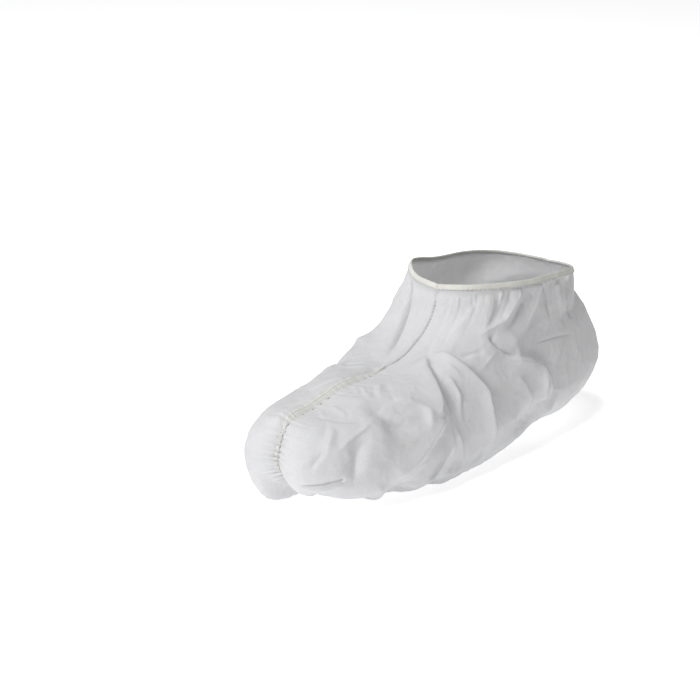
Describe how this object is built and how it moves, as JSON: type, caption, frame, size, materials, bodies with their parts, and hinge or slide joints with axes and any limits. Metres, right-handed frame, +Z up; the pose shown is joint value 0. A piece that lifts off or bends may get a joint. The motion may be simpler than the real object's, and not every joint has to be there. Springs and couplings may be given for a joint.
{
  "type": "reusable shoe cover",
  "caption": "Soft cloth overshoe that encloses a shoe from toe to ankle, with a gathered, bound ankle opening and a flattened seam over the toe.",
  "frame": {"origin": "on the floor, under the middle of the cover's bounding box", "axes": "+Z up, -Y towards the toe and +Y towards the heel, +X towards the wearer's left"},
  "size_m": [0.1219, 0.3358, 0.1333],
  "materials": {
    "cloth": "matt white nonwoven cloth with a fine embossed grain",
    "trim": "matt off-white sewn tape and overlock thread"
  },
  "bodies": {
    "root": {"left_panel": "cloth", "right_panel": "cloth", "seam_band": "trim", "ankle_binding": "trim"}
  },
  "joints": []
}
